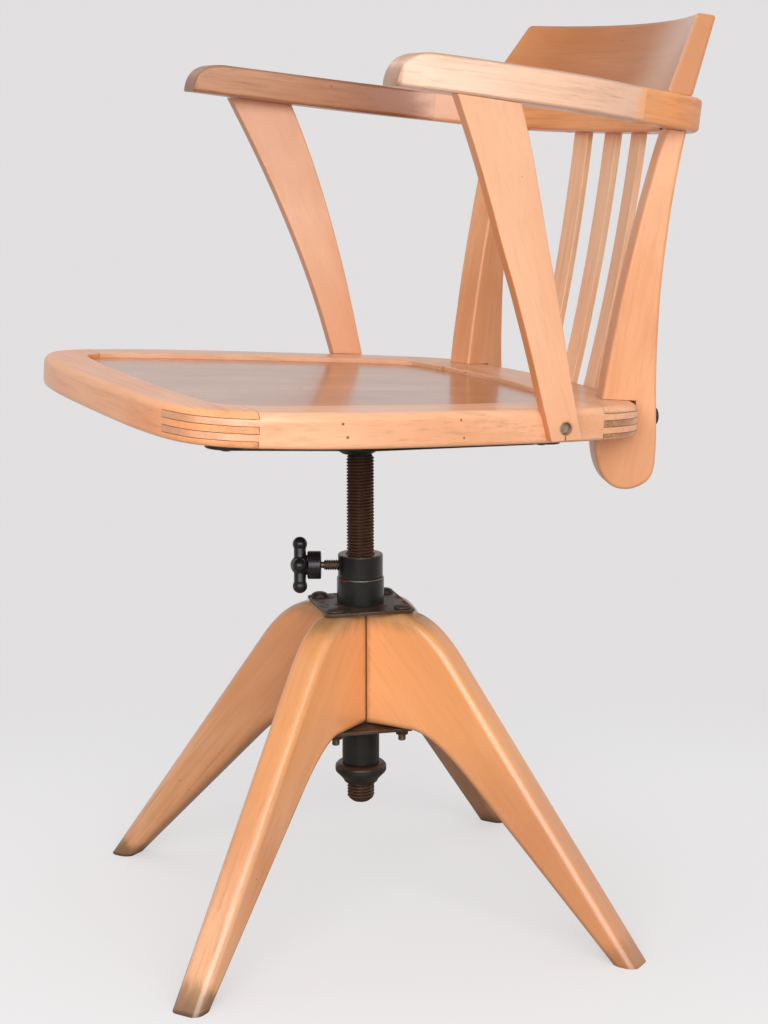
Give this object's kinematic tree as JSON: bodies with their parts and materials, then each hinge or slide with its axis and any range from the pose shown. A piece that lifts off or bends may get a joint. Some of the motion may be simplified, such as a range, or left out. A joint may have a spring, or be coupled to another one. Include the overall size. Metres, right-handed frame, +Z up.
{
  "type": "swivel desk chair",
  "caption": "Wooden swivel desk chair with arms, a slatted back and a curved crest, on a splayed four-legged base with a central height screw.",
  "frame": {"origin": "on the floor under the middle of the chair's outline", "axes": "+Z up, -Y the way the sitter faces, +X the sitter's left"},
  "size_m": [0.5272, 0.5589, 0.8336],
  "materials": {
    "beech": "worn honey varnish",
    "plywood": "brown varnished veneer",
    "black_iron": "black lacquer worn to brown at the edges",
    "rusty_iron": "dark brown rust, oiled",
    "bakelite": "black, satin",
    "bright_steel": "worn bright steel"
  },
  "bodies": {
    "base": {"leg_1": "beech", "leg_bolt_1": "black_iron", "leg_nut_1": "black_iron", "leg_2": "beech", "leg_bolt_2": "black_iron", "leg_nut_2": "black_iron", "leg_3": "beech", "leg_bolt_3": "black_iron", "leg_nut_3": "black_iron", "leg_4": "beech", "leg_bolt_4": "black_iron", "leg_nut_4": "black_iron", "top_plate": "black_iron", "bottom_plate": "black_iron", "swivel_housing": "black_iron"},
    "sleeve": {"screw_sleeve": "black_iron", "ring_nut": "rusty_iron"},
    "clamp_stud": {"clamp_stud": "bright_steel"},
    "clamp_knob": {"clamp_knob": "bakelite"},
    "seat": {"height_screw": "rusty_iron", "front_rail": "beech", "rear_rail": "beech", "left_rail": "beech", "right_rail": "beech", "seat_panel": "plywood", "seat_spider": "black_iron", "spider_screw_left_front": "black_iron", "spider_screw_left_rear": "black_iron", "spider_screw_right_front": "black_iron", "spider_screw_right_rear": "black_iron", "left_post": "beech", "right_post": "beech", "left_post_bolt": "black_iron", "right_post_bolt": "black_iron", "left_arm_support": "beech", "right_arm_support": "beech", "left_support_screw": "bright_steel", "right_support_screw": "bright_steel", "slat_right": "beech", "slat_centre": "beech", "slat_left": "beech", "left_arm": "beech", "right_arm": "beech", "back_bow": "beech", "crest_board": "beech", "crest_screw_1": "black_iron", "crest_screw_2": "black_iron", "crest_screw_3": "black_iron", "crest_screw_4": "black_iron"}
  },
  "joints": [
    {"name": "swivel", "type": "hinge", "parent": "base", "child": "sleeve", "pos_m": [0, -0.02141, 0.32], "axis": [0, 0, 1], "continuous": true},
    {"name": "height", "type": "slide", "parent": "sleeve", "child": "seat", "axis": [0, 0, 1], "range_m": [-0.086, 0.05]},
    {"name": "clamp_advance", "type": "slide", "parent": "sleeve", "child": "clamp_stud", "axis": [-0.3971, -0.9178, 0], "range_m": [0, 0.0026]},
    {"name": "clamp_turn", "type": "hinge", "parent": "clamp_stud", "child": "clamp_knob", "pos_m": [0, -0.02141, 0.3338], "axis": [-0.3971, -0.9178, 0], "range_deg": [0, 720]}
  ],
  "couplings": [
    {"joint": "clamp_advance", "follows": "clamp_turn", "m_per_rad": 0.0001989}
  ]
}
